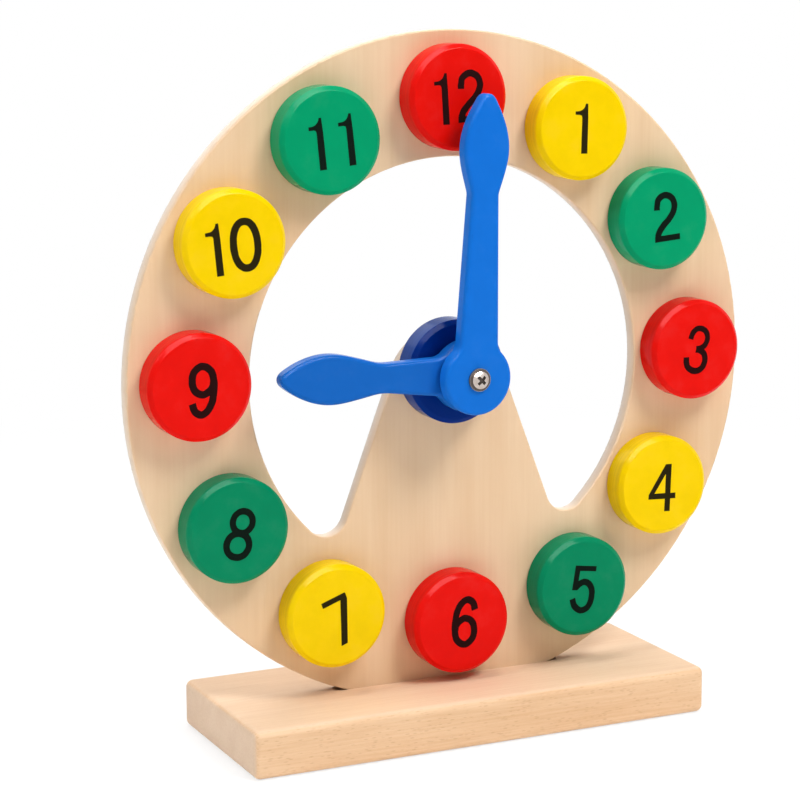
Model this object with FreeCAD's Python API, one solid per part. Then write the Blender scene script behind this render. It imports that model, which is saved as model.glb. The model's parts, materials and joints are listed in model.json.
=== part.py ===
"""Wooden teaching clock: a beech foot, a round face plate with a centre post, twelve glued
number discs and two hands that turn by hand on one screw. Millimetres, +Z up. The clock faces
-Y, and the origin lies in the middle of the foot's underside."""

import FreeCAD, Part
import math
import os

V = FreeCAD.Vector
BACK = V(0, 1, 0)

# Foot board
base_length = 140.0
base_depth = 56.0
base_thickness = 13.6
base_edge_round = 2.1
groove_length = 71.2
groove_depth = 5.8
groove_side_fit = 0.05

# Face plate: a ring with a tapering post that carries the hub
plate_outer_r = 95.0
plate_thickness = 4.5
plate_edge_round = 0.5
ring_width = 35.0
post_flank_offset = 15.6
post_half_angle = 20.6
post_top_r = 17.5
lobe_corner_r = 6.4

# Turned discs, one blank for the hub and for the twelve numbers
disc_r = 14.7
disc_thickness = 8.2
disc_front_bevel = 1.2
disc_bevel_ease = 0.35
disc_back_round = 0.5
number_circle_inset = 1.0

# Hands
hand_thickness = 5.0
hand_edge_round = 1.2
hand_eye_r = 10.1
hand_eye_blend_r = 4.5
leaf_flare_angle = 16.0
minute_length = 78.2
minute_neck_place = 51.0
minute_neck_half_width = 4.1
minute_neck_round = 4.0
minute_root_half_width = 6.2
minute_belly_half_width = 6.8
minute_rest_angle = 2.55
hour_length = 56.1
hour_neck_place = 26.6
hour_neck_half_width = 3.95
hour_neck_round = 16.0
hour_root_half_width = 6.1
hour_belly_half_width = 6.9
hour_rest_angle = 272.9

# Pivot screw and its washers
screw_r = 1.5
screw_reach_in_plate = 3.2
screw_point_length = 2.0
pilot_fit = 0.02
hand_bore_fit = 0.08
washer_bore_fit = 0.1
head_r = 2.45
head_height = 1.3
head_rim_height = 0.5
recess_width = 0.7
recess_span = 3.2
recess_depth = 0.8
head_washer_r = 3.2
head_washer_thickness = 0.6
spacer_washer_r = 4.5
spacer_washer_thickness = 0.4
washer_play = 0.03

# Where the number discs were glued: each one's distance off its hour mark, to the right and
# up, in shares of the disc's radius
disc_place_shares = {
    1: (0.0, 0.05),
    2: (-0.07, 0.13),
    3: (0.0, 0.09),
    4: (-0.03, 0.0),
    5: (0.07, 0.03),
    6: (0.02, 0.31),
    7: (0.01, 0.06),
    8: (-0.04, 0.01),
    9: (-0.02, 0.13),
    10: (-0.01, 0.10),
    11: (-0.02, -0.01),
    12: (-0.03, 0.01),
}
hub_place_share = (-0.08, 0.04)

# Edges lie at one level when they differ from it by less than this share of their piece's size
same_level_share = 0.001

# One side of a hand's leaf, from its neck to its tip. The belly's place is a share of the
# leaf's length. Between neck and belly the width is a share of the rise, and past the belly
# a share of the belly's width.
minute_belly_share = 0.43
hour_belly_share = 0.51
shoulder_place_share = 0.5
shoulder_rise_share = 0.64
cheek_place_share = 0.5
cheek_width_share = 0.79
nose_place_share = 0.87
nose_width_share = 0.38

# Levels that follow from the sizes above
dial_height = base_thickness - groove_depth + plate_outer_r
opening_r = plate_outer_r - ring_width
number_circle_r = plate_outer_r - ring_width / 2 - number_circle_inset
post_top_lift = (post_flank_offset - post_top_r) / math.sin(math.radians(post_half_angle))
plate_front = -plate_thickness / 2
plate_back = plate_thickness / 2
disc_front = plate_front - disc_thickness
washer_room = spacer_washer_thickness + 2 * washer_play
hour_front = disc_front - washer_room - hand_thickness
minute_front = hour_front - washer_room - hand_thickness
head_washer_front = minute_front - washer_play - head_washer_thickness
head_top = head_washer_front - head_height


def dial_point(right, up, level=0.0):
    """A point given from the dial's centre, at a level along Y."""
    return V(right, level, dial_height + up)


def line(start, end):
    return Part.LineSegment(start, end).toShape()


def arc(start, middle, end):
    return Part.Arc(start, middle, end).toShape()


def arc_round(centre, start, end, bulge_from):
    """The arc about a centre from start to end that leans away from a third point."""
    radius = start.sub(centre).Length
    halfway = start.add(end).multiply(1 / 2).sub(centre)
    if halfway.dot(bulge_from.sub(centre)) > 0:
        halfway = halfway.multiply(-1)
    return arc(start, centre.add(halfway.normalize().multiply(radius)), end)


def slab(edges, level, thickness):
    """A flat piece cut from an outline at one level, that thick towards the back."""
    face = Part.Face(Part.Wire(Part.__sortEdges__(edges)))
    face.translate(V(0, level, 0))
    return face.extrude(BACK * thickness)


def pin(radius, front_level, back_level, centre):
    """A round bar along Y between two levels."""
    start = V(centre.x, front_level, centre.z)
    return Part.makeCylinder(radius, back_level - front_level, start, BACK)


def flat_rims(solid, levels):
    """The edges of a piece that lie wholly in one of the planes at these levels."""
    near = same_level_share * solid.BoundBox.YLength

    def lies_at(edge, level):
        return max(abs(edge.BoundBox.YMin - level), abs(edge.BoundBox.YMax - level)) < near

    return [edge for edge in solid.Edges if any(lies_at(edge, level) for level in levels)]


def base_board():
    corner = V(-base_length / 2, -base_depth / 2, 0)
    board = Part.makeBox(base_length, base_depth, base_thickness, corner)
    board = board.makeFillet(base_edge_round, board.Edges)
    return board.cut(groove())


def groove():
    """The round-ended slot in the foot that the plate stands in, carried on past the top."""
    end_r = plate_thickness / 2 + groove_side_fit
    straight = groove_length - 2 * end_r
    floor = base_thickness - groove_depth
    slot = Part.makeBox(straight, 2 * end_r, base_thickness, V(-straight / 2, -end_r, floor))
    for side in (1, -1):
        end = Part.makeCylinder(end_r, base_thickness, V(side * straight / 2, 0, floor))
        slot = slot.fuse(end)
    return slot.removeSplitter()


def lobe_points(side):
    """Centre and tangent points of the rounded corner at the foot of the opening, on the right
    for side 1 and on the left for side -1, with the point where the post's flank meets the
    round of its top."""
    lean = math.radians(post_half_angle)
    outward = V(side * math.cos(lean), 0, math.sin(lean))
    down_flank = V(side * math.sin(lean), 0, -math.cos(lean))
    reach = opening_r - lobe_corner_r
    offset = post_flank_offset + lobe_corner_r
    along = math.sqrt(reach ** 2 - offset ** 2)
    centre = outward * offset + down_flank * along
    on_ring = V(centre).normalize() * opening_r
    on_flank = centre - outward * lobe_corner_r
    on_top = V(0, 0, post_top_lift) + outward * post_top_r
    lift = dial_point(0, 0)
    return [lift.add(point) for point in (centre, on_ring, on_flank, on_top)]


def opening_edges():
    right_centre, right_ring, right_flank, right_top = lobe_points(1)
    left_centre, left_ring, left_flank, left_top = lobe_points(-1)
    return [
        arc(right_ring, dial_point(0, opening_r), left_ring),
        arc_round(left_centre, left_ring, left_flank, left_top),
        line(left_flank, left_top),
        arc(left_top, dial_point(0, post_top_lift + post_top_r), right_top),
        line(right_top, right_flank),
        arc_round(right_centre, right_flank, right_ring, right_top),
    ]


def face_plate():
    middle = dial_point(0, 0)
    rim = Part.Circle(middle, BACK, plate_outer_r).toShape()
    plate = slab([rim], plate_front, plate_thickness)
    overrun = plate_thickness
    plate = plate.cut(slab(opening_edges(), plate_front - overrun, plate_thickness + 2 * overrun))
    plate = plate.makeFillet(plate_edge_round, flat_rims(plate, [plate_front, plate_back]))
    return plate.cut(screw_body(pilot_fit))


def turned_disc(right, up):
    """One turned blank, standing on the plate's front, with a bevelled front rim."""
    centre = dial_point(right, up)
    disc = pin(disc_r, disc_front, plate_front, centre)
    disc = disc.makeFillet(disc_back_round, flat_rims(disc, [plate_front]))
    disc = disc.makeChamfer(disc_front_bevel, flat_rims(disc, [disc_front]))
    bevel_rims = flat_rims(disc, [disc_front, disc_front + disc_front_bevel])
    return disc.makeFillet(disc_bevel_ease, bevel_rims)


def number_disc(hour):
    angle = math.radians(360 * hour / 12)
    right_share, up_share = disc_place_shares[hour]
    right = number_circle_r * math.sin(angle) + right_share * disc_r
    up = number_circle_r * math.cos(angle) + up_share * disc_r
    return turned_disc(right, up)


def hub_disc():
    right_share, up_share = hub_place_share
    disc = turned_disc(right_share * disc_r, up_share * disc_r)
    return disc.cut(screw_body(pilot_fit))


def leaf_side(side, neck, tip_place, belly_place, neck_half, belly_half):
    """One side of a leaf: a smooth curve from the neck over the belly to the tip."""
    front_length = belly_place - neck
    nose_length = tip_place - belly_place
    stations = [
        (neck_half, neck),
        (neck_half + shoulder_rise_share * (belly_half - neck_half),
         neck + shoulder_place_share * front_length),
        (belly_half, belly_place),
        (cheek_width_share * belly_half, belly_place + cheek_place_share * nose_length),
        (nose_width_share * belly_half, belly_place + nose_place_share * nose_length),
        (0, tip_place),
    ]
    points = [dial_point(side * half, place) for half, place in stations]
    flare = math.radians(leaf_flare_angle)
    leaves_neck = V(side * math.sin(flare), 0, math.cos(flare))
    curve = Part.BSplineCurve()
    curve.interpolate(Points=points, InitialTangent=leaves_neck, FinalTangent=V(-side, 0, 0))
    return curve.toShape()


def hand_side(side, length, neck, neck_half, root_half, belly_half, belly_share):
    """One side of an upright hand, from the round eye at the pivot to the tip: a hollow
    blend, a straight tapering flank and the leaf. Returns its edges and where it leaves
    the eye."""
    taper = (root_half - neck_half) / neck
    outward = V(side, 0, taper).normalize()
    along = V(-side * taper, 0, 1).normalize()
    offset = root_half * abs(outward.x) + hand_eye_blend_r
    reach = hand_eye_r + hand_eye_blend_r
    blend = outward * offset + along * math.sqrt(reach ** 2 - offset ** 2)
    eye_end = V(blend).normalize() * hand_eye_r

    pivot = dial_point(0, 0)
    blend_centre = pivot + blend
    leaves_eye = pivot + eye_end
    flank_start = blend_centre - outward * hand_eye_blend_r
    belly_place = neck + belly_share * (length - neck)
    edges = [
        arc_round(blend_centre, leaves_eye, flank_start, blend_centre + blend),
        line(flank_start, dial_point(side * neck_half, neck)),
        leaf_side(side, neck, length, belly_place, neck_half, belly_half),
    ]
    return edges, leaves_eye


def neck_corners(blade, neck):
    """The two straight edges across the blade's thickness where its flanks meet the leaf."""
    height = dial_point(0, neck).z
    near = same_level_share * blade.BoundBox.ZLength
    return [edge for edge in blade.Edges
            if max(abs(edge.BoundBox.ZMin - height), abs(edge.BoundBox.ZMax - height)) < near]


def hand(front_level, rest_angle, neck_round, **sizes):
    """A hand drawn upright about the pivot, given its thickness and its soft edges, then
    turned clockwise, seen from the front, to where it rests."""
    right_edges, right_start = hand_side(1, **sizes)
    left_edges, left_start = hand_side(-1, **sizes)
    eye = arc(right_start, dial_point(0, -hand_eye_r), left_start)
    blade = slab(right_edges + left_edges + [eye], front_level, hand_thickness)
    blade = blade.makeFillet(neck_round, neck_corners(blade, sizes["neck"]))
    back_level = front_level + hand_thickness
    blade = blade.makeFillet(hand_edge_round, flat_rims(blade, [front_level, back_level]))
    pivot = dial_point(0, 0)
    bore = pin(screw_r + hand_bore_fit, front_level - hand_thickness,
               back_level + hand_thickness, pivot)
    blade = blade.cut(bore)
    blade.rotate(pivot, BACK, rest_angle)
    return blade


def hour_hand():
    return hand(
        hour_front,
        hour_rest_angle,
        hour_neck_round,
        length=hour_length,
        neck=hour_neck_place,
        neck_half=hour_neck_half_width,
        root_half=hour_root_half_width,
        belly_half=hour_belly_half_width,
        belly_share=hour_belly_share,
    )


def minute_hand():
    return hand(
        minute_front,
        minute_rest_angle,
        minute_neck_round,
        length=minute_length,
        neck=minute_neck_place,
        neck_half=minute_neck_half_width,
        root_half=minute_root_half_width,
        belly_half=minute_belly_half_width,
        belly_share=minute_belly_share,
    )


def screw_body(fit):
    """The screw's plain body from under its head to its point. Grown by a fit, it is the
    pilot hole in the hub and the plate."""
    radius = screw_r + fit
    shoulder = plate_front + screw_reach_in_plate - screw_point_length
    body = pin(radius, head_washer_front, shoulder, dial_point(0, 0))
    point = Part.makeCone(radius, 0, screw_point_length + fit, dial_point(0, 0, shoulder), BACK)
    return body.fuse(point).removeSplitter()


def pivot_screw():
    """Pan head with a domed top and a cross recess, on a plain round body."""
    middle = dial_point(0, 0)
    seat_centre = dial_point(0, 0, head_washer_front)
    seat_rim = dial_point(head_r, 0, head_washer_front)
    rim = dial_point(head_r, 0, head_washer_front - head_rim_height)
    crown = dial_point(0, 0, head_top)
    dome_rise = head_height - head_rim_height
    dome_r = (head_r ** 2 + dome_rise ** 2) / (2 * dome_rise)
    dome_centre = head_top + dome_r
    half_angle = math.asin(head_r / dome_r) / 2
    shoulder = dial_point(dome_r * math.sin(half_angle), 0,
                          dome_centre - dome_r * math.cos(half_angle))
    profile = Part.Face(Part.Wire([
        line(seat_centre, seat_rim),
        line(seat_rim, rim),
        arc(rim, shoulder, crown),
        line(crown, seat_centre),
    ]))
    head = profile.revolve(middle, BACK, 360)
    arm = Part.makeBox(recess_span, 2 * recess_depth, recess_width,
                       dial_point(-recess_span / 2, -recess_width / 2, head_top - recess_depth))
    upright = arm.copy()
    upright.rotate(middle, BACK, 90)
    recess = arm.fuse(upright)
    recess.rotate(middle, BACK, 45)
    screw = head.cut(recess).fuse(screw_body(0))
    return screw.removeSplitter()


def washer(radius, front_level, thickness):
    middle = dial_point(0, 0)
    back_level = front_level + thickness
    bore = pin(screw_r + washer_bore_fit, front_level - thickness, back_level + thickness, middle)
    return pin(radius, front_level, back_level, middle).cut(bore)


def spacer_washer(seat):
    """A thin washer with a little play, between a hand and what lies behind it."""
    front_level = seat - washer_play - spacer_washer_thickness
    return washer(spacer_washer_r, front_level, spacer_washer_thickness)


def build_parts():
    parts = {
        "base_board": base_board(),
        "face_plate": face_plate(),
        "hub_disc": hub_disc(),
        "hour_hand": hour_hand(),
        "minute_hand": minute_hand(),
        "pivot_screw": pivot_screw(),
        "head_washer": washer(head_washer_r, head_washer_front, head_washer_thickness),
        "hub_spacer_washer": spacer_washer(disc_front),
        "hand_spacer_washer": spacer_washer(hour_front),
    }
    for hour in sorted(disc_place_shares):
        parts["number_disc_%02d" % hour] = number_disc(hour)
    return parts


def main():
    os.makedirs("parts", exist_ok=True)
    for name, shape in build_parts().items():
        print(name, "valid", shape.isValid(), "solids", len(shape.Solids),
              "volume", round(shape.Volume, 1))
        shape.exportStep("parts/%s.step" % name)


main()
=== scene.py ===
"""Wooden teaching clock: wood, paint, printed numbers and a steel screw over its CAD frame.

Metres, +Z up. The clock faces -Y and stands on the origin.
"""

import json
import math

import bmesh
import bpy
from mathutils import Matrix, Vector, noise
from mathutils.geometry import delaunay_2d_cdt, interpolate_bezier

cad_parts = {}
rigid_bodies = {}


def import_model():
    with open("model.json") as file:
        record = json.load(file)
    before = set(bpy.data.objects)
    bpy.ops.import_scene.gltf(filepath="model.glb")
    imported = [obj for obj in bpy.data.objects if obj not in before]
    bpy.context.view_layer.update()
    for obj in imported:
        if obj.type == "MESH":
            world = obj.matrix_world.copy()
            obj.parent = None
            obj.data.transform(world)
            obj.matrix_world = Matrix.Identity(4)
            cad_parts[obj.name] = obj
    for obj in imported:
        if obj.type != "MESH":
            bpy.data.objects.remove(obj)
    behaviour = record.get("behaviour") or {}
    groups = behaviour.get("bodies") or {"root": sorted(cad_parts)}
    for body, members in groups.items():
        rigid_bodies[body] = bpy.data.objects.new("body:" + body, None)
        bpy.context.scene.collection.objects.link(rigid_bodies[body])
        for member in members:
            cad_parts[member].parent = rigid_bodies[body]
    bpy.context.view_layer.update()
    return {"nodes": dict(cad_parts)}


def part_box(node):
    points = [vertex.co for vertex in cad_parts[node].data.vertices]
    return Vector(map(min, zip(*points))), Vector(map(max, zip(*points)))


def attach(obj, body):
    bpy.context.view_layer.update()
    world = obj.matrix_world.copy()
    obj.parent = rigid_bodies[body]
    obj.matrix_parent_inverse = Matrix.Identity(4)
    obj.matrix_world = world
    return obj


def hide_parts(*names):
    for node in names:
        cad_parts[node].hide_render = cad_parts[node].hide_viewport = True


for leftover in list(bpy.data.objects):
    bpy.data.objects.remove(leftover, do_unlink=True)
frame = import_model()

bl_info = {
    "name": "Wooden Teaching Clock",
    "version": (1, 0, 0),
    "blender": (4, 5, 0),
    "location": "3D View > Sidebar > Clock",
    "description": "Dresses the teaching clock with wood, paint, numerals and its pivot screw",
    "category": "Add Mesh",
}

MM = 0.001
HOURS = range(1, 13)
PAINT_OF_THIRD = {0: "red", 1: "yellow", 2: "green"}
DEEPER_DISCS = (5, 8)


def display(red, green, blue):
    """A colour given as it shows on a screen, 0 to 255, in the linear values Blender works in."""
    def linear(level):
        share = level / 255
        return share / 12.92 if share <= 0.04045 else ((share + 0.055) / 1.055) ** 2.4

    return (linear(red), linear(green), linear(blue), 1.0)


WHITE = (1.0, 1.0, 1.0, 1.0)
BLACK = (0.0, 0.0, 0.0, 1.0)


def disc_name(hour):
    return "number_disc_%02d" % hour


def face_centre(node):
    """The middle of the front of a round node."""
    low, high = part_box(node)
    return Vector(((low.x + high.x) / 2, low.y, (low.z + high.z) / 2))


DISC_LOW, DISC_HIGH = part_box(disc_name(12))


# Properties

def length_prop(name, description, default):
    return bpy.props.FloatProperty(
        name=name, description=description, default=default, unit="LENGTH")


def angle_prop(name, description, degrees):
    return bpy.props.FloatProperty(
        name=name, description=description, default=math.radians(degrees), unit="ROTATION")


def power_prop(name, description, watts):
    return bpy.props.FloatProperty(
        name=name, description=description, default=watts, unit="POWER")


def colour_prop(name, description, red, green, blue):
    return bpy.props.FloatVectorProperty(
        name=name, description=description, default=display(red, green, blue),
        subtype="COLOR", size=4, min=0, max=1)


class ClockSizes(bpy.types.PropertyGroup):
    """Sizes of what is added to the CAD frame."""
    disc_radius: length_prop(
        "Disc radius", "Radius of a number disc", (DISC_HIGH.x - DISC_LOW.x) / 2)
    disc_thickness: length_prop(
        "Disc thickness", "Thickness of a number disc", DISC_HIGH.y - DISC_LOW.y)
    disc_bevel: length_prop(
        "Bevel", "Width of the bevel turned on a disc's front rim", 1.2 * MM)
    disc_ease: length_prop("Ease", "Rounding of both edges of the bevel", 0.6 * MM)
    disc_back_round: length_prop("Back round", "Rounding of a disc's back rim", 0.5 * MM)
    disc_wobble: length_prop(
        "Wobble", "How far a hand-turned disc strays from a true circle", 0.05 * MM)
    screw_dome_rise: length_prop("Dome rise", "Height of the dome of the screw's head", 0.8 * MM)
    screw_rim_height: length_prop("Rim height", "Height of the rim under the dome", 0.5 * MM)
    screw_body_radius: length_prop("Screw radius", "Radius of the screw's body", 1.5 * MM)
    screw_point_length: length_prop("Point length", "Length of the screw's point", 2.0 * MM)
    screw_ease: length_prop("Screw ease", "Rounding of the rim of the screw's head", 0.08 * MM)
    recess_span: length_prop(
        "Recess span", "Width of the cross recess from wing to wing", 3.9 * MM)
    recess_width: length_prop("Wing width", "Width of one wing of the cross recess", 1.15 * MM)
    recess_depth: length_prop("Recess depth", "Depth of the cross recess", 0.8 * MM)
    recess_taper: bpy.props.FloatProperty(
        name="Recess taper", description="Share by which a wing narrows to its floor",
        default=0.35, min=0, max=0.9)
    recess_turn: angle_prop("Recess turn", "Turn of the cross recess", 45)
    numeral_boldness: bpy.props.FloatProperty(
        name="Numeral boldness", description="Width of the curved strokes of the numbers",
        default=1.07, min=0.5, max=1.5)
    numeral_wobble: length_prop(
        "Numeral wobble", "How far the edge of a printed number strays", 0.07 * MM)
    print_thickness: length_prop(
        "Print thickness", "Thickness of the ink of the printed numbers", 0.04 * MM)


class ClockColours(bpy.types.PropertyGroup):
    """Colours of the clock's finishes."""
    base_wood: colour_prop("Base wood", "Pale wood of the foot board", 238, 203, 166)
    plate_wood: colour_prop("Plate wood", "Pale wood of the face plate", 233, 203, 168)
    red: colour_prop("Red paint", "Paint of discs 3, 6, 9 and 12", 226, 16, 8)
    yellow: colour_prop("Yellow paint", "Paint of discs 1, 4, 7 and 10", 241, 202, 0)
    green: colour_prop("Green paint", "Paint of discs 2 and 11", 0, 150, 100)
    deep_green: colour_prop("Deeper green paint", "Paint of discs 5 and 8", 2, 130, 88)
    minute_blue: colour_prop("Minute hand blue", "Paint of the minute hand", 18, 109, 207)
    # The hour hand's blue is the minute hand's paint darkened as painted shade.
    shaded_hour_blue: colour_prop("Hour hand blue", "Paint of the hour hand", 20, 97, 184)
    hub_navy: colour_prop("Navy paint", "Paint of the hub disc", 0, 42, 120)
    # Painted sheen: a paler blue laid on the hub disc's wall, where its gloss catches light.
    hub_wall_sheen: colour_prop("Hub wall", "Paler paint on the wall of the hub disc", 40, 74, 148)
    ink: colour_prop("Ink", "Ink of the printed numbers", 8, 8, 8)
    steel: colour_prop("Steel", "Bright metal of the screw", 198, 186, 178)
    washer: colour_prop("Washer", "Duller metal of the washers", 96, 88, 84)


class ClockStage(bpy.types.PropertyGroup):
    """The camera and the light around the clock."""
    heading: angle_prop("Heading", "Turn of the camera about the vertical", -26.1506)
    pitch: angle_prop("Pitch", "Tilt of the camera above the horizon", -9.8212)
    roll: angle_prop("Roll", "Turn of the camera about its own axis", -0.0552)
    distance: length_prop("Distance", "Distance from the camera to its target", 695.08 * MM)
    key_power: power_prop("Key power", "Power of the soft lamp in front and to the right", 7.9)
    top_power: power_prop("Top power", "Power of the soft lamp overhead", 3.2)
    side_power: power_prop("Side power", "Power of the soft lamp on the left", 3.7)
    back_power: power_prop("Back power", "Power of the soft lamp behind and above", 7.6)
    glint_power: power_prop("Glint power", "Power of the front lamp that only gloss shows", 50.0)
    rim_power: power_prop("Rim power", "Power of the back lamp that only gloss shows", 1.2)
    sky_strength: bpy.props.FloatProperty(
        name="Sky strength", description="Light that the white surroundings give back",
        default=0.2, min=0, max=1)


def sizes():
    return bpy.context.scene.clock_sizes


def colours():
    return bpy.context.scene.clock_colours


# Node helpers

def add(tree, kind, inputs=None, **settings):
    """Adds a node, makes its settings, then fills or links its inputs."""
    node = tree.nodes.new(kind)
    for name, value in settings.items():
        setattr(node, name, value)
    for key, value in (inputs or {}).items():
        feed(tree, node.inputs[key], value)
    column, row = len(tree.nodes) % 9, len(tree.nodes) // 9
    node.location = (220 * column, -260 * row)
    return node


def feed(tree, socket, value):
    """Links a socket to a socket, or sets it to a value."""
    if isinstance(value, bpy.types.NodeSocket):
        tree.links.new(value, socket)
    else:
        socket.default_value = value


def calc(tree, operation, *values):
    """The result of one sum."""
    return add(tree, "ShaderNodeMath", dict(enumerate(values)), operation=operation).outputs[0]


def plus(tree, first, second):
    return calc(tree, "ADD", first, second)


def minus(tree, first, second):
    return calc(tree, "SUBTRACT", first, second)


def times(tree, first, second):
    return calc(tree, "MULTIPLY", first, second)


def over(tree, first, second):
    return calc(tree, "DIVIDE", first, second)


def vector_calc(tree, operation, *values):
    node = add(tree, "ShaderNodeVectorMath", dict(enumerate(values)), operation=operation)
    return node.outputs["Value" if operation in ("DOT_PRODUCT", "LENGTH") else "Vector"]


def vector_of(tree, x=0.0, y=0.0, z=0.0):
    return add(tree, "ShaderNodeCombineXYZ", {"X": x, "Y": y, "Z": z}).outputs[0]


def parts_of(tree, vector):
    return add(tree, "ShaderNodeSeparateXYZ", {"Vector": vector}).outputs


def spread(tree, value, low, high, to_low=0.0, to_high=1.0):
    """A value moved smoothly from one range to another, and held inside it."""
    return add(tree, "ShaderNodeMapRange", {
        "Value": value, "From Min": low, "From Max": high, "To Min": to_low, "To Max": to_high,
    }, interpolation_type="SMOOTHSTEP").outputs["Result"]


def mix_colour(tree, factor, first, second, blend="MIX"):
    return add(tree, "ShaderNodeMix", {0: factor, 6: first, 7: second},
               data_type="RGBA", blend_type=blend).outputs[2]


def mottle(tree, vector, scale, detail=3.0, roughness=0.5, distortion=0.0):
    """Soft random cloud, 0 to 1."""
    return add(tree, "ShaderNodeTexNoise", {
        "Vector": vector, "Scale": scale, "Detail": detail, "Roughness": roughness,
        "Distortion": distortion,
    }).outputs["Fac"]


def object_place(tree):
    return add(tree, "ShaderNodeTexCoord").outputs["Object"]


def own_position(tree):
    return add(tree, "GeometryNodeInputPosition").outputs[0]


FLOAT = "NodeSocketFloat"
WHOLE = "NodeSocketInt"
VECTOR = "NodeSocketVector"
COLOUR = "NodeSocketColor"
MATERIAL = "NodeSocketMaterial"
GEOMETRY = "NodeSocketGeometry"


def new_group(name, kind, inputs, outputs):
    """An empty node group. Each input is given as its kind of socket or as the number that it
    starts from. Returns the tree and the inputs' sockets by name."""
    tree = bpy.data.node_groups.new(name, kind)
    for label, start in inputs.items():
        socket_kind = start
        if not isinstance(start, str):
            socket_kind = WHOLE if isinstance(start, int) else FLOAT
        socket = tree.interface.new_socket(name=label, in_out="INPUT", socket_type=socket_kind)
        if socket_kind is not start:
            socket.default_value = start
    for label, socket_kind in outputs.items():
        tree.interface.new_socket(name=label, in_out="OUTPUT", socket_type=socket_kind)
    given = tree.nodes.new("NodeGroupInput").outputs
    return tree, {socket.name: socket for socket in given if socket.name}


def close_group(tree, **results):
    """Links the results to the group's outputs of the same names."""
    output = tree.nodes.new("NodeGroupOutput")
    for name, socket in results.items():
        tree.links.new(socket, output.inputs[name])


# Effects shared by the materials

def wood_grain_group():
    """Wood whose grain runs along X of the vector: soft figure and fine fibres."""
    tree, given = new_group("Wood grain", "ShaderNodeTree", {
        "Vector": VECTOR, "Pale": COLOUR, "Deep": COLOUR, "Figure Scale": 60.0, "Figure": 0.5,
        "Fibre Scale": 900.0, "Fibre": 0.5,
    }, {"Colour": COLOUR, "Height": FLOAT, "Roughness": FLOAT})
    figure_stretch, fibre_stretch = (0.12, 1.0, 1.0), (0.03, 1.0, 1.0)
    long_figure = vector_calc(tree, "MULTIPLY", given["Vector"], figure_stretch)
    long_fibre = vector_calc(tree, "MULTIPLY", given["Vector"], fibre_stretch)
    figure = mottle(tree, long_figure, given["Figure Scale"], 3.0, 0.55, distortion=0.4)
    fibre = mottle(tree, long_fibre, given["Fibre Scale"], 4.0, 0.65)
    figure_mask = spread(tree, figure, 0.3, 0.7)
    fibre_mask = spread(tree, fibre, 0.3, 0.7)
    depth = plus(tree, times(tree, figure_mask, given["Figure"]),
                 times(tree, fibre_mask, given["Fibre"]))
    colour = mix_colour(tree, depth, given["Pale"], given["Deep"])
    roughness = spread(tree, fibre, 0.25, 0.75, 0.48, 0.66)
    close_group(tree, Colour=colour, Height=fibre_mask, Roughness=roughness)
    return tree


def ray_fleck_group():
    """Short dashes along X of the vector, which show as dots on end grain."""
    tree, given = new_group("Ray flecks", "ShaderNodeTree", {
        "Vector": VECTOR, "Length": 3.0 * MM, "Width": 0.6 * MM, "Share": 0.5,
    }, {"Mask": FLOAT})
    across = over(tree, 1.0, given["Width"])
    along = over(tree, 1.0, given["Length"])
    stretch = vector_of(tree, along, across, across)
    cells = add(tree, "ShaderNodeTexVoronoi", {
        "Vector": vector_calc(tree, "MULTIPLY", given["Vector"], stretch), "Scale": 1.0,
    })
    body = spread(tree, cells.outputs["Distance"], 0.5, 0.14)
    pick = add(tree, "ShaderNodeSeparateColor", {"Color": cells.outputs["Color"]}).outputs
    chosen = calc(tree, "LESS_THAN", pick[0], given["Share"])
    depth = spread(tree, pick[1], 0.0, 1.0, 0.2, 1.0)
    close_group(tree, Mask=times(tree, times(tree, body, chosen), depth))
    return tree


def soft_edge_group():
    """A broken mask along the outer edges of a piece, which the materials use to paint a highlight
    there.
    """
    tree, given = new_group("Soft edges", "ShaderNodeTree", {
        "Vector": VECTOR, "Radius": 0.8 * MM, "Breakup Scale": 300.0,
    }, {"Mask": FLOAT})
    bevel = add(tree, "ShaderNodeBevel", {"Radius": given["Radius"]}, samples=6).outputs[0]
    normal = add(tree, "ShaderNodeNewGeometry").outputs["Normal"]
    turn = minus(tree, 1.0, vector_calc(tree, "DOT_PRODUCT", bevel, normal))
    breakup = mottle(tree, given["Vector"], given["Breakup Scale"], 3.0, 0.6)
    broken = times(tree, spread(tree, turn, 0.01, 0.18), spread(tree, breakup, 0.3, 0.7, 0.6, 1.0))
    close_group(tree, Mask=broken)
    return tree


def brushed_paint_group():
    """Satin paint on wood: cloudy colour, faint grain showing through, a slightly uneven skin, and
    a painted highlight along the edges.
    """
    tree, given = new_group("Brushed paint", "ShaderNodeTree", {
        "Vector": VECTOR, "Paint": COLOUR, "Edge Mask": 0.0, "Cloud": 0.1, "Edge Lightness": 0.2,
    }, {"Colour": COLOUR, "Roughness": FLOAT, "Height": FLOAT})
    streak_stretch, darkening = (0.05, 1.0, 1.0), (0.72, 0.72, 0.76, 1.0)
    cloud = mottle(tree, given["Vector"], 160.0, 4.0, 0.6)
    skin = mottle(tree, given["Vector"], 700.0, 2.0)
    streaks = mottle(tree, vector_calc(tree, "MULTIPLY", given["Vector"], streak_stretch),
                     900.0, 3.0, 0.6)
    darker = mix_colour(tree, 1.0, given["Paint"], darkening, "MULTIPLY")
    lighter = mix_colour(tree, 0.12, given["Paint"], WHITE)
    down = times(tree, spread(tree, cloud, 0.62, 0.3), given["Cloud"])
    colour = mix_colour(tree, down, given["Paint"], darker)
    up = times(tree, spread(tree, cloud, 0.5, 0.75), times(tree, given["Cloud"], 0.4))
    colour = mix_colour(tree, up, colour, lighter)
    # Painted highlight: the paint is lightened along its edges.
    edge_highlight = times(tree, given["Edge Mask"], given["Edge Lightness"])
    colour = mix_colour(tree, edge_highlight, colour, lighter)
    roughness = spread(tree, cloud, 0.2, 0.8, 0.12, 0.2)
    height = plus(tree, times(tree, streaks, 0.6), times(tree, skin, 0.4))
    close_group(tree, Colour=colour, Roughness=roughness, Height=height)
    return tree


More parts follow.
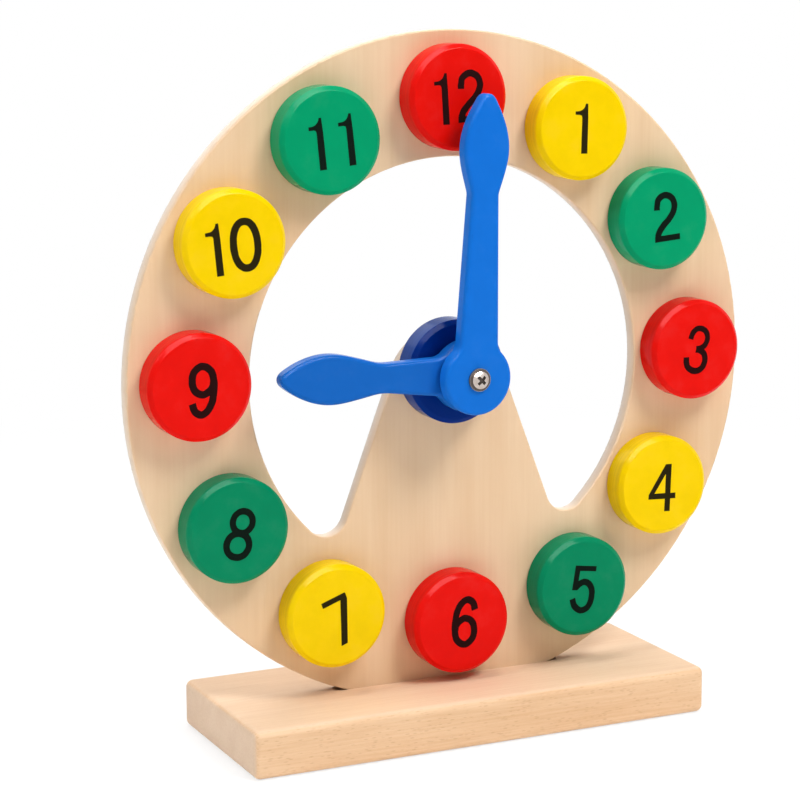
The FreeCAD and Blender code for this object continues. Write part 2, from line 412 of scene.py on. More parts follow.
def turning_mark_group():
    """Fine rings that the lathe left, from the distance to a disc's axis and its depth, and a
    painted shade over the disc's wall that the rings break up.
    """
    tree, given = new_group("Turning marks", "ShaderNodeTree", {
        "Turning": VECTOR, "Spacing": 0.35 * MM, "Bevel": 1.2 * MM,
    }, {"Height": FLOAT, "Shade": FLOAT})
    place = parts_of(tree, given["Turning"])
    reach = plus(tree, place["X"], place["Y"])
    jitter = add(tree, "ShaderNodeTexNoise", {"W": reach, "Scale": 900.0, "Detail": 3.0},
                 noise_dimensions="1D").outputs["Fac"]
    turns = times(tree, over(tree, reach, given["Spacing"]), math.tau)
    rings = calc(tree, "MULTIPLY_ADD", calc(tree, "SINE", turns), 0.25, 0.5)
    # Painted shade: the wall is darkened, broken up by the jitter of the rings.
    on_wall = spread(tree, place["Y"], given["Bevel"], times(tree, given["Bevel"], 2.5))
    painted_wall_shade = times(tree, on_wall, spread(tree, jitter, 0.35, 0.62, 0.25, 1.0))
    height = plus(tree, times(tree, rings, 0.4), times(tree, jitter, 0.6))
    close_group(tree, Height=height, Shade=painted_wall_shade)
    return tree


GROUP_MAKERS = {
    "Wood grain": wood_grain_group,
    "Ray flecks": ray_fleck_group,
    "Soft edges": soft_edge_group,
    "Brushed paint": brushed_paint_group,
    "Turning marks": turning_mark_group,
}


def effect(tree, name, **inputs):
    """Places one of the shared effects and fills its inputs. Returns its outputs."""
    group = bpy.data.node_groups.get(name) or GROUP_MAKERS[name]()
    node = add(tree, "ShaderNodeGroup", node_tree=group)
    for key, value in inputs.items():
        feed(tree, node.inputs[key.replace("_", " ")], value)
    return node.outputs


# Materials

BOARD_TOP_WOOD_AND_SHEEN = display(228, 203, 179)
BOARD_END_WOOD = display(214, 197, 182)
BOARD_EDGE_HIGHLIGHT = display(252, 228, 204)
SAWN_PLATE_WOOD_BACK_LIT = display(222, 211, 200)
PLATE_EDGE_HIGHLIGHT = display(250, 232, 214)
WORN_INK = display(26, 21, 18)
PAINT_THROUGH_INK = 0.018
RECESS_SHADE_AND_DIRT = display(78, 67, 60)
METAL_EDGE_HIGHLIGHT = (0.9, 0.88, 0.86, 1.0)


def new_material(name):
    """A material with a lone Principled shader. Returns it, its tree and the shader."""
    material = bpy.data.materials.new(name)
    material.use_nodes = True
    tree = material.node_tree
    tree.nodes.clear()
    shader = add(tree, "ShaderNodeBsdfPrincipled")
    output = add(tree, "ShaderNodeOutputMaterial")
    tree.links.new(shader.outputs["BSDF"], output.inputs["Surface"])
    return material, tree, shader


def dress(tree, shader, colour, roughness, height, relief):
    """Gives a shader its colour, its roughness and a bump as deep as the relief."""
    tree.links.new(colour, shader.inputs["Base Color"])
    tree.links.new(roughness, shader.inputs["Roughness"])
    node = add(tree, "ShaderNodeBump", {"Height": height, "Distance": relief})
    tree.links.new(node.outputs[0], shader.inputs["Normal"])


def shaded(colour, red, green, blue):
    """A colour with its red, green and blue scaled."""
    return tuple(level * scale for level, scale in zip(colour, (red, green, blue, 1.0)))


def object_vector(tree, turn=(0, 0, 0), shift=(0, 0, 0)):
    """Object coordinates, turned and moved."""
    return add(tree, "ShaderNodeMapping", {
        "Vector": object_place(tree), "Rotation": turn, "Location": shift}).outputs[0]


def facing(tree, axis):
    """How squarely a surface faces along an axis, either way."""
    normal = add(tree, "ShaderNodeNewGeometry").outputs["Normal"]
    return calc(tree, "ABSOLUTE", vector_calc(tree, "DOT_PRODUCT", normal, axis))


def base_wood():
    """Flecked beech, paler and pinker on the board's ends; paler on its top, partly the flat-sawn
    face's own tone and partly painted sheen; with a painted highlight along its edges.
    """
    material, tree, shader = new_material("base_beech")
    vector = object_vector(tree)
    pale = tuple(colours().base_wood)
    grain = effect(tree, "Wood grain", Vector=vector, Pale=pale,
                   Deep=shaded(pale, 0.80, 0.68, 0.56), Figure_Scale=110.0, Figure=0.42,
                   Fibre_Scale=1500.0, Fibre=0.34)
    flecks = effect(tree, "Ray flecks", Vector=vector, Length=2.0 * MM, Width=0.5 * MM,
                    Share=0.75)["Mask"]
    # The top is paler: partly the flat-sawn face's own tone, partly painted sheen.
    top = spread(tree, facing(tree, (0, 0, 1)), 0.6, 0.95)
    fleck_strength = times(tree, flecks, spread(tree, top, 0.0, 1.0, 0.34, 0.1))
    colour = mix_colour(tree, times(tree, top, 0.5), grain["Colour"], BOARD_TOP_WOOD_AND_SHEEN)
    colour = mix_colour(tree, fleck_strength, colour, shaded(pale, 0.62, 0.47, 0.36))
    end_grain = mix_colour(tree, 0.5, colour, BOARD_END_WOOD)
    colour = mix_colour(tree, spread(tree, facing(tree, (1, 0, 0)), 0.6, 0.95), colour, end_grain)
    # Painted highlight: a pale colour along the board's edges.
    edge_highlight = effect(tree, "Soft edges", Vector=vector, Radius=1.6 * MM, Breakup_Scale=200.0)["Mask"]
    colour = mix_colour(tree, times(tree, edge_highlight, 0.22), colour, BOARD_EDGE_HIGHLIGHT)
    shader.inputs["Specular IOR Level"].default_value = 0.12
    height = minus(tree, grain["Height"], flecks)
    dress(tree, shader, colour, grain["Roughness"], height, 0.03 * MM)
    return material


def plate_wood():
    """Plain pale wood with upright grain, greyer where the edge was sawn, that edge growing paler
    toward the back as painted back light, and with a painted highlight along its edges.
    """
    material, tree, shader = new_material("plate_beech")
    vector = object_vector(tree, turn=(0, math.radians(90), 0))
    pale = tuple(colours().plate_wood)
    grain = effect(tree, "Wood grain", Vector=vector, Pale=pale,
                   Deep=shaded(pale, 0.86, 0.76, 0.66), Figure_Scale=60.0, Figure=0.5,
                   Fibre_Scale=800.0, Fibre=0.16)
    low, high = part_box("face_plate")
    depth = parts_of(tree, object_place(tree))["Y"]
    # Sawn edge: its own greyer tone, growing toward the back as painted back light.
    sawn_and_back_lit = times(tree, spread(tree, facing(tree, (0, 1, 0)), 0.75, 0.35),
                 spread(tree, depth, low.y, high.y, 0.3, 0.9))
    colour = mix_colour(tree, sawn_and_back_lit, grain["Colour"], SAWN_PLATE_WOOD_BACK_LIT)
    # Painted highlight: a pale colour along the plate's edges.
    edge_highlight = effect(tree, "Soft edges", Vector=vector, Radius=0.7 * MM, Breakup_Scale=240.0)["Mask"]
    colour = mix_colour(tree, times(tree, edge_highlight, 0.12), colour, PLATE_EDGE_HIGHLIGHT)
    shader.inputs["Specular IOR Level"].default_value = 0.12
    dress(tree, shader, colour, grain["Roughness"], grain["Height"], 0.012 * MM)
    return material


def turning_of(tree, centre):
    """Distance from a disc's axis and depth behind its face, for a CAD disc."""
    place = parts_of(tree, vector_calc(tree, "SUBTRACT", object_place(tree), tuple(centre)))
    out = vector_calc(tree, "LENGTH", vector_of(tree, place["X"], place["Z"]))
    return vector_of(tree, out, place["Y"])


def paint(name, colour, turned=False, shift=(0, 0, 0), shine=0.05, cloud=0.1, wall=None):
    """Satin paint, with the lathe's rings under it on a turned piece, perhaps a paler colour
    painted on its wall as sheen, and a painted highlight along its edges. A disc that keeps its
    CAD mesh gives the centre of its face as turned."""
    material, tree, shader = new_material(name)
    vector = object_vector(tree, shift=shift)
    edge_highlight = effect(tree, "Soft edges", Vector=vector, Radius=0.5 * MM)["Mask"]
    skin = effect(tree, "Brushed paint", Vector=vector, Paint=tuple(colour), Edge_Mask=edge_highlight,
                  Cloud=cloud, Edge_Lightness=0.5)
    height, tint = skin["Height"], skin["Colour"]
    if wall is not None:
        # Painted sheen: the wall takes a paler colour where it turns sideways.
        side = spread(tree, facing(tree, (0, 1, 0)), 0.6, 0.2, 0.0, 0.8)
        tint = mix_colour(tree, side, tint, tuple(wall))
    if turned:
        if turned is True:
            turning = add(tree, "ShaderNodeAttribute", attribute_name="turning").outputs["Vector"]
        else:
            turning = turning_of(tree, turned)
        rings = effect(tree, "Turning marks", Turning=turning, Bevel=sizes().disc_bevel)
        height = plus(tree, times(tree, height, 0.5), rings["Height"])
        # Painted shade on the wall, from the Shade output of the turning marks.
        tint = mix_colour(tree, times(tree, rings["Shade"], 0.12), tint, BLACK)
    shader.inputs["Specular IOR Level"].default_value = shine
    dress(tree, shader, tint, skin["Roughness"], height, 0.006 * MM)
    return material


def number_ink(name, under):
    """Black ink, thin enough to let a little of the paint under it through."""
    material, tree, shader = new_material(name)
    vector = object_vector(tree)
    black = (*(ink + share * PAINT_THROUGH_INK
               for ink, share in zip(colours().ink[:3], under[:3])), 1.0)
    worn = mottle(tree, vector, 1800.0, 3.0, 0.6)
    colour = mix_colour(tree, spread(tree, worn, 0.5, 0.85, 0.0, 0.5), black, WORN_INK)
    roughness = spread(tree, worn, 0.2, 0.8, 0.42, 0.62)
    shader.inputs["Specular IOR Level"].default_value = 0.03
    dress(tree, shader, colour, roughness, worn, 0.01 * MM)
    return material


def metal(name, colour, low, high, hollows=False):
    """Machined metal between two roughness values, with a painted highlight along its edges, and
    painted shade with some dirt in a recess marked as hollow.
    """
    material, tree, shader = new_material(name)
    vector = object_vector(tree)
    stain = mottle(tree, vector, 700.0, 4.0, 0.6)
    edge_highlight = effect(tree, "Soft edges", Vector=vector, Radius=0.25 * MM)["Mask"]
    tint = mix_colour(tree, spread(tree, stain, 0.5, 0.85), tuple(colour),
                      shaded(colour, 0.62, 0.56, 0.5))
    # Painted highlight: a bright colour along the metal's edges.
    tint = mix_colour(tree, times(tree, edge_highlight, 0.5), tint, METAL_EDGE_HIGHLIGHT)
    shader.inputs["Metallic"].default_value = 1.0
    if hollows:
        hollow = add(tree, "ShaderNodeAttribute", attribute_name="hollow").outputs["Fac"]
        # Painted shade with some dirt: the cross recess is darkened and made less metallic.
        tint = mix_colour(tree, hollow, tint, RECESS_SHADE_AND_DIRT)
        tree.links.new(calc(tree, "MULTIPLY_ADD", hollow, -0.6, 1.0), shader.inputs["Metallic"])
    roughness = spread(tree, stain, 0.2, 0.8, low, high)
    dress(tree, shader, tint, roughness, mottle(tree, vector, 2600.0), 0.008 * MM)
    return material


def finish_node(node, material):
    """Gives a CAD node a material in the slot that it already has."""
    frame["nodes"][node].data.materials[0] = material


def new_object(name, data):
    """An object at the origin of the scene."""
    piece = bpy.data.objects.new(name, data)
    bpy.context.scene.collection.objects.link(piece)
    return piece


# Turned pieces

def by_index(tree, kind, values):
    """Picks one of the values by the point's index."""
    switch = add(tree, "GeometryNodeIndexSwitch", {
        "Index": add(tree, "GeometryNodeInputIndex").outputs[0]}, data_type=kind)
    while len(switch.index_switch_items) < len(values):
        switch.index_switch_items.new()
    for slot, value in enumerate(values):
        feed(tree, switch.inputs[slot + 1], value)
    return switch.outputs[0]


def profile_curve(tree, corners):
    """A line through corners given as distance from the axis, depth and rounding."""
    places = [vector_of(tree, out, deep) for out, deep, _ in corners]
    line = add(tree, "GeometryNodeCurvePrimitiveLine").outputs[0]
    line = add(tree, "GeometryNodeResampleCurve", {"Curve": line, "Count": len(corners)})
    profile = add(tree, "GeometryNodeSetPosition", {
        "Geometry": line.outputs[0], "Position": by_index(tree, "VECTOR", places),
    }).outputs[0]
    rounded = add(tree, "GeometryNodeFilletCurve", {
        "Curve": profile, "Radius": by_index(tree, "FLOAT", [round_ for _, _, round_ in corners]),
    }, mode="POLY")
    rounded.inputs["Count"].default_value = 6
    return rounded.outputs[0]


def lathe_group():
    """Turns a profile about its axis into a closed solid that strays a little from true."""
    tree, given = new_group("Lathe", "GeometryNodeTree", {
        "Profile": GEOMETRY, "Radius": 10 * MM, "Wobble": 0.0, "Seed": 0, "Sides": 128,
        "Front Centre": VECTOR,
    }, {"Geometry": GEOMETRY})
    profile = given["Profile"]
    index = add(tree, "GeometryNodeInputIndex").outputs[0]
    count = add(tree, "GeometryNodeAttributeDomainSize", {"Geometry": profile},
                component="CURVE").outputs["Point Count"]
    columns = plus(tree, given["Sides"], 1)
    sheet = add(tree, "GeometryNodeMeshGrid", {"Vertices X": columns, "Vertices Y": count})
    column = calc(tree, "FLOOR", over(tree, plus(tree, index, 0.5), count))
    row = calc(tree, "MODULO", index, count)
    point = add(tree, "GeometryNodeSampleIndex", {"Geometry": profile, "Index": row},
                data_type="FLOAT_VECTOR")
    tree.links.new(own_position(tree), point.inputs["Value"])
    point = point.outputs["Value"]
    depth = parts_of(tree, point)
    angle = over(tree, times(tree, column, math.tau), given["Sides"])
    cosine, sine = calc(tree, "COSINE", angle), calc(tree, "SINE", angle)

    depth_stretch, seed_step = 12.0, 3.7
    place = vector_of(tree, cosine, times(tree, depth["Y"], depth_stretch), sine)
    stray = add(tree, "ShaderNodeTexNoise", {
        "Vector": place, "W": times(tree, given["Seed"], seed_step), "Scale": 1.6, "Detail": 2.0,
    }, noise_dimensions="4D").outputs["Fac"]
    stray = times(tree, minus(tree, stray, 1.0), given["Wobble"])
    out = plus(tree, depth["X"], times(tree, stray, over(tree, depth["X"], given["Radius"])))
    turned = vector_of(tree, times(tree, out, cosine), depth["Y"], times(tree, out, sine))
    solid = add(tree, "GeometryNodeSetPosition", {
        "Geometry": sheet.outputs["Mesh"],
        "Position": vector_calc(tree, "ADD", turned, given["Front Centre"]),
    }).outputs[0]
    solid = add(tree, "GeometryNodeStoreNamedAttribute", {
        "Geometry": solid, "Name": "turning", "Value": point,
    }, data_type="FLOAT_VECTOR", domain="POINT").outputs[0]
    solid = add(tree, "GeometryNodeMergeByDistance", {
        "Geometry": solid, "Distance": 0.001 * MM}).outputs[0]
    close_group(tree, Geometry=add(tree, "GeometryNodeFlipFaces", {"Mesh": solid}).outputs[0])
    return tree


def lathe(tree, profile, **inputs):
    """Places the shared lathe in a tree."""
    group = bpy.data.node_groups.get("Lathe") or lathe_group()
    node = add(tree, "GeometryNodeGroup", {"Profile": profile}, node_tree=group)
    for key, value in inputs.items():
        feed(tree, node.inputs[key.replace("_", " ")], value)
    return node.outputs[0]


def finish_tree(tree, solid, material):
    """Ends a tree: nothing left as an instance, and one material on it all."""
    solid = add(tree, "GeometryNodeRealizeInstances", {"Geometry": solid}).outputs[0]
    solid = add(tree, "GeometryNodeSetMaterial", {
        "Geometry": solid, "Material": material}).outputs[0]
    close_group(tree, Geometry=solid)
    return tree


def turned_disc_tree():
    """A disc with a flat front, an eased bevel, a straight wall and a rounded back."""
    tree, given = new_group("Turned disc", "GeometryNodeTree", {
        "Radius": 10 * MM, "Thickness": 5 * MM, "Bevel": 1 * MM, "Ease": 0.3 * MM,
        "Back Round": 0.5 * MM, "Wobble": 0.0, "Seed": 0, "Sides": 128, "Front Centre": VECTOR,
        "Paint": MATERIAL,
    }, {"Geometry": GEOMETRY})
    radius, thick, bevel = given["Radius"], given["Thickness"], given["Bevel"]
    ease, back = given["Ease"], given["Back Round"]
    shy_ease = times(tree, ease, 2.0)
    shy_back = times(tree, back, 2.0)
    flat_edge = minus(tree, radius, bevel)
    profile = profile_curve(tree, [
        (0.0, 0.0, 0.0),
        (minus(tree, flat_edge, shy_ease), 0.0, 0.0),
        (flat_edge, 0.0, ease),
        (radius, bevel, ease),
        (radius, plus(tree, bevel, shy_ease), 0.0),
        (radius, minus(tree, thick, shy_back), 0.0),
        (radius, thick, back),
        (minus(tree, radius, shy_back), thick, 0.0),
        (0.0, thick, 0.0),
    ])
    solid = lathe(tree, profile, Radius=radius, Wobble=given["Wobble"], Seed=given["Seed"],
                  Sides=given["Sides"], Front_Centre=given["Front Centre"])
    solid = add(tree, "GeometryNodeSetShadeSmooth", {"Geometry": solid}).outputs[0]
    return finish_tree(tree, solid, given["Paint"])


DOME_STEPS = 8
SCREW_SIDES = 72
SHARP_BEND = math.radians(35)


def cross_screw_tree():
    """A screw turned in one with its domed head, less the four wings of its cross recess."""
    tree, given = new_group("Cross screw", "GeometryNodeTree", {
        "Head Radius": 2.5 * MM, "Dome Rise": 0.8 * MM, "Rim Height": 0.5 * MM,
        "Body Radius": 1.5 * MM, "Length": 20 * MM, "Point Length": 2 * MM, "Ease": 0.1 * MM,
        "Wing Span": 3.2 * MM, "Wing Width": 0.7 * MM, "Wing Depth": 0.8 * MM, "Taper": 0.35,
        "Turn": math.radians(45), "Front Centre": VECTOR, "Steel": MATERIAL,
    }, {"Geometry": GEOMETRY})
    head, rise, body = given["Head Radius"], given["Dome Rise"], given["Body Radius"]
    ball = over(tree, plus(tree, times(tree, head, head), times(tree, rise, rise)),
                times(tree, rise, 2.0))

    def dome(out):
        chord = minus(tree, times(tree, ball, ball), times(tree, out, out))
        return minus(tree, ball, calc(tree, "SQRT", chord))

    corners = []
    for step in range(DOME_STEPS):
        out = times(tree, head, step / DOME_STEPS)
        corners.append((out, dome(out), 0.0))
    seat = plus(tree, rise, given["Rim Height"])
    shoulder = minus(tree, given["Length"], given["Point Length"])
    corners += [(head, rise, given["Ease"]), (head, seat, given["Ease"]), (body, seat, 0.0),
                (body, shoulder, 0.0), (0.0, given["Length"], 0.0)]
    solid = lathe(tree, profile_curve(tree, corners), Radius=head, Sides=SCREW_SIDES,
                  Front_Centre=given["Front Centre"])

    half_span = times(tree, given["Wing Span"], 0.5)
    wing_size = vector_of(tree, half_span, times(tree, given["Wing Depth"], 2.0),
                          given["Wing Width"])
    wing = add(tree, "GeometryNodeMeshCube", {"Size": wing_size, "Vertices X": 5}).outputs["Mesh"]
    along = parts_of(tree, own_position(tree))
    deep = over(tree, plus(tree, along["Y"], given["Wing Depth"]),
                times(tree, given["Wing Depth"], 2.0))
    slim = minus(tree, 1.0, times(tree, deep, given["Taper"]))
    reach = plus(tree, along["X"], times(tree, half_span, 0.5))
    tapered = vector_of(tree, times(tree, reach, slim), along["Y"], times(tree, along["Z"], slim))
    wing = add(tree, "GeometryNodeSetPosition", {"Geometry": wing, "Position": tapered}).outputs[0]
    seats = add(tree, "GeometryNodeMeshLine", {
        "Count": 4, "Start Location": given["Front Centre"], "Offset": (0.0, 0.0, 0.0)}).outputs[0]
    quarter = times(tree, add(tree, "GeometryNodeInputIndex").outputs[0], math.pi / 2)
    spin = vector_of(tree, y=plus(tree, quarter, given["Turn"]))
    wings = add(tree, "GeometryNodeInstanceOnPoints", {
        "Points": seats, "Instance": wing, "Rotation": spin}).outputs[0]
    wings = add(tree, "GeometryNodeRealizeInstances", {"Geometry": wings}).outputs[0]
    cut = add(tree, "GeometryNodeMeshBoolean", {"Mesh 1": solid, "Mesh 2": wings},
              operation="DIFFERENCE", solver="EXACT")
    cut.inputs["Self Intersection"].default_value = True
    solid = cut.outputs["Mesh"]

    here = parts_of(tree, vector_calc(tree, "SUBTRACT", own_position(tree),
                                      given["Front Centre"]))
    across = vector_calc(tree, "LENGTH", vector_of(tree, here["X"], here["Z"]))
    sunk = minus(tree, here["Y"], dome(calc(tree, "MINIMUM", across, head)))
    inside = times(tree, calc(tree, "LESS_THAN", across, half_span),
                   calc(tree, "LESS_THAN", here["Y"], seat))
    hollow = times(tree, inside, calc(tree, "GREATER_THAN", sunk, 0.03 * MM))
    solid = add(tree, "GeometryNodeStoreNamedAttribute", {
        "Geometry": solid, "Name": "hollow", "Value": hollow,
    }, data_type="FLOAT", domain="FACE").outputs[0]
    solid = add(tree, "GeometryNodeSetShadeSmooth", {"Geometry": solid}).outputs[0]
    bend = add(tree, "GeometryNodeInputMeshEdgeAngle").outputs[0]
    solid = add(tree, "GeometryNodeSetShadeSmooth", {
        "Geometry": solid, "Selection": calc(tree, "GREATER_THAN", bend, SHARP_BEND),
        "Shade Smooth": False}, domain="EDGE").outputs[0]
    return finish_tree(tree, solid, given["Steel"])


def made_by(tree, name, values):
    """A plain mesh object made by a geometry tree from the named values."""
    mesh = bpy.data.meshes.new(name)
    piece = new_object(name, mesh)
    modifier = piece.modifiers.new(name, "NODES")
    modifier.node_group = tree
    for item in tree.interface.items_tree:
        if item.item_type == "SOCKET" and item.in_out == "INPUT" and item.name in values:
            modifier[item.identifier] = values[item.name]
    ready = piece.evaluated_get(bpy.context.evaluated_depsgraph_get())
    made = bpy.data.meshes.new_from_object(ready)
    piece.modifiers.remove(modifier)
    piece.data = made
    made.name = name
    bpy.data.meshes.remove(mesh)
    if not made.polygons:
        raise RuntimeError("the tree %s made nothing for %s" % (tree.name, name))
    finish = next(material for material in made.materials if material)
    made.materials.clear()
    made.materials.append(finish)
    return piece


class CLOCK_OT_number_discs(bpy.types.Operator):
    """Turns the twelve number discs and paints them red, yellow and green"""
    bl_idname = "clock.number_discs"
    bl_label = "Number Discs"

    def execute(self, context):
        tree = turned_disc_tree()
        made = sizes()
        paints = {name: paint(name + "_paint", getattr(colours(), name), turned=True, cloud=0.15)
                  for name in (*PAINT_OF_THIRD.values(), "deep_green")}
        for hour in HOURS:
            node = disc_name(hour)
            colour = PAINT_OF_THIRD[hour % 3]
            piece = made_by(tree, "turned_disc_%02d" % hour, {
                "Radius": made.disc_radius,
                "Thickness": made.disc_thickness,
                "Bevel": made.disc_bevel,
                "Ease": made.disc_ease,
                "Back Round": made.disc_back_round,
                "Wobble": made.disc_wobble,
                "Seed": hour,
                "Sides": 144,
                "Front Centre": tuple(face_centre(node)),
                "Paint": paints["deep_green" if hour in DEEPER_DISCS else colour],
            })
            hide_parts(node)
            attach(piece, "stand")
        return {"FINISHED"}


# Printed numbers: millimetres about the middle of each figure, right and up

CURVE_STEPS = 9
OVAL_STEPS = 64


def smooth_run(points):
    """Points on a smooth curve through the given ones."""
    knots = [Vector(point) for point in points]
    slopes = []
    for number in range(len(knots)):
        before, after = knots[max(number - 1, 0)], knots[min(number + 1, len(knots) - 1)]
        slopes.append((after - before).normalized())
    run = [knots[0]]
    for start, end, leave, arrive in zip(knots, knots[1:], slopes, slopes[1:]):
        reach = (end - start).length / 3
        pieces = interpolate_bezier(start, start + leave * reach, end - arrive * reach, end,
                                    CURVE_STEPS)
        run.extend(Vector(piece[:2]) for piece in pieces[1:])
    return run


def ribbon(run, width, closed=False):
    """Four-sided pieces that make a stroke of that width along a run."""
    width *= sizes().numeral_boldness
    last = len(run) - 1
    sides = []
    for number, point in enumerate(run):
        if closed:
            ahead = run[(number + 1) % len(run)] - run[number - 1]
        else:
            ahead = run[min(number + 1, last)] - run[max(number - 1, 0)]
        side = Vector((-ahead.y, ahead.x)).normalized() * width / 2
        sides.append((point - side, point + side))
    if closed:
        sides.append(sides[0])
    return [[a[0], b[0], b[1], a[1]] for a, b in zip(sides, sides[1:])]


def oval(centre, across, up, width, squareness=2.0):
    """A closed oval stroke, rounder or squarer at its corners."""
    run = []
    for step in range(OVAL_STEPS):
        angle = math.tau * step / OVAL_STEPS
        c, s = math.cos(angle), math.sin(angle)
        run.append(Vector((
            centre[0] + across * math.copysign(abs(c) ** (2 / squareness), c),
            centre[1] + up * math.copysign(abs(s) ** (2 / squareness), s),
        )))
    return ribbon(run, width, closed=True)


def shape(*points):
    return [[Vector(point) for point in points]]


def figure_zero():
    return oval((0, 0), 3.42, 6.23, 1.9, 2.2), []


def figure_one():
    flag = smooth_run([(0.05, 7.0), (-0.2, 6.2), (-0.75, 5.5), (-1.6, 5.02), (-3.15, 4.85)])
    under = smooth_run([(-1.7, 3.86), (-1.16, 3.62), (-0.96, 3.0)])
    return shape((-1.0, -7.0), (1.0, -7.0), (0.94, 3.0), (0.76, 7.0), *flag, (-3.15, 3.9),
                 *under), []


def figure_two():
    stroke = smooth_run([
        (-2.93, 2.15), (-2.85, 3.3), (-2.2, 5.25), (-0.1, 6.25), (2.1, 5.3), (2.95, 3.2),
        (2.35, 1.1), (0.94, -0.7), (-1.06, -2.45), (-2.5, -4.05), (-3.2, -5.6),
    ])
    foot = shape((-4.18, -7.07), (4.19, -7.07), (4.19, -5.35), (-4.1, -5.35))
    return ribbon(stroke, 1.8) + foot, []


def figure_three():
    top = smooth_run([
        (-2.42, 2.95), (-2.1, 4.5), (-1.1, 5.85), (0.42, 6.3), (2.3, 5.6), (3.2, 3.6),
        (2.6, 1.5), (1.2, 0.45), (-0.25, 0.25),
    ])
    bottom = smooth_run([
        (-0.25, 0.0), (1.2, -0.15), (2.6, -1.05), (3.22, -3.1), (2.3, -5.4), (0.1, -6.3),
        (-2.1, -5.5), (-2.95, -4.2), (-3.2, -2.45),
    ])
    return ribbon(top, 1.6) + ribbon(bottom, 1.75), []


def figure_four():
    outer = shape(
        (-4.52, -1.95), (0.75, 7.0), (2.75, 7.0), (2.82, -1.62), (4.55, -1.62), (4.55, -3.32),
        (2.84, -3.32), (2.9, -7.1), (0.98, -7.1), (1.0, -3.32), (-4.52, -3.32))
    return outer, shape((-2.6, -1.62), (1.02, -1.62), (0.9, 4.0))


def figure_five():
    bowl = smooth_run([
        (-2.6, 0.45), (-1.3, 1.75), (0.45, 2.25), (2.3, 1.1), (3.05, -1.6), (2.3, -4.9),
        (0.1, -6.15), (-2.2, -5.0), (-3.25, -2.85),
    ])
    bar = shape((-3.42, 5.5), (3.52, 5.5), (3.52, 7.05), (-3.42, 7.05))
    stem = ribbon([Vector((-2.6, 6.5)), Vector((-2.85, -0.25))], 1.6)
    return bar + stem + ribbon(bowl, 1.8), []


def figure_six():
    stroke = smooth_run([
        (3.1, 3.4), (2.3, 5.6), (0.2, 6.48), (-2.1, 4.2), (-3.0, 0.5), (-3.1, -2.2),
        (-2.3, -5.1), (0.1, -6.5), (2.3, -5.2), (3.02, -2.65), (2.2, 0.0), (0.15, 1.12),
        (-1.7, 0.35), (-2.75, -0.9), (-3.0, -2.2),
    ])
    return ribbon(stroke, 1.9), []


def figure_seven():
    return shape((-3.78, 7.0), (3.6, 7.0), (3.8, 6.6), (3.8, 5.1), (-0.55, -7.0), (-2.55, -7.0),
                 (1.75, 5.4), (-3.78, 5.4)), []


def figure_eight():
    return oval((0.28, 3.35), 2.85, 3.0, 1.7) + oval((0, -3.15), 3.25, 3.3, 1.8), []


def figure_nine():
    filled, _ = figure_six()
    return [[-corner for corner in piece] for piece in filled], []


FIGURES = {
    "0": figure_zero, "1": figure_one, "2": figure_two, "3": figure_three, "4": figure_four,
    "5": figure_five, "6": figure_six, "7": figure_seven, "8": figure_eight, "9": figure_nine,
}

# Turn of each number in degrees, to the left, and where its figures stand on the disc
NUMBER_LAYOUT = {
    1: (-1.8, [("1", 0.37, -0.02)]),
    2: (4.7, [("2", 0.31, 0.70)]),
    3: (-7.0, [("3", -0.12, 0.04)]),
    4: (-2.7, [("4", -0.42, -0.62)]),
    5: (-7.5, [("5", -0.07, -0.75)]),
    6: (-2.0, [("6", 0.53, 0.37)]),
    7: (20.0, [("7", 0.47, -1.2)]),
    8: (-11.3, [("8", 0.27, -0.66)]),
    9: (0.0, [("9", 0.45, -0.62)]),
    10: (5.2, [("1", -5.1, -0.75), ("0", 2.75, -0.45)]),
    11: (5.6, [("1", -3.22, -0.44), ("1", 5.42, -0.31)]),
    12: (3.2, [("1", -4.45, 0.0), ("2", 3.37, 0.2)]),
}


def turns_left(outline):
    """Whether an outline runs anticlockwise."""
    area = sum(a.cross(b) for a, b in zip(outline, outline[1:] + outline[:1]))
    return area > 0


def ink_triangles(filled, cut):
    """Triangles that fill the union of some outlines, less the cut ones."""
    points, faces = [], []
    for outline in filled + cut:
        ring = outline if turns_left(outline) else outline[::-1]
        faces.append(list(range(len(points), len(points) + len(ring))))
        points.extend(ring)
    points, _, triangles, _, _, sources = delaunay_2d_cdt(points, [], faces, 0, 1e-4)
    cut_from = len(filled)
    kept = [triangle for triangle, source in zip(triangles, sources)
            if source and max(source) < cut_from]
    return points, kept


WAVES_PER_METRE = 900
WAVE_SHIFT_PER_HOUR = 5.0
WAVE_SEED = 12


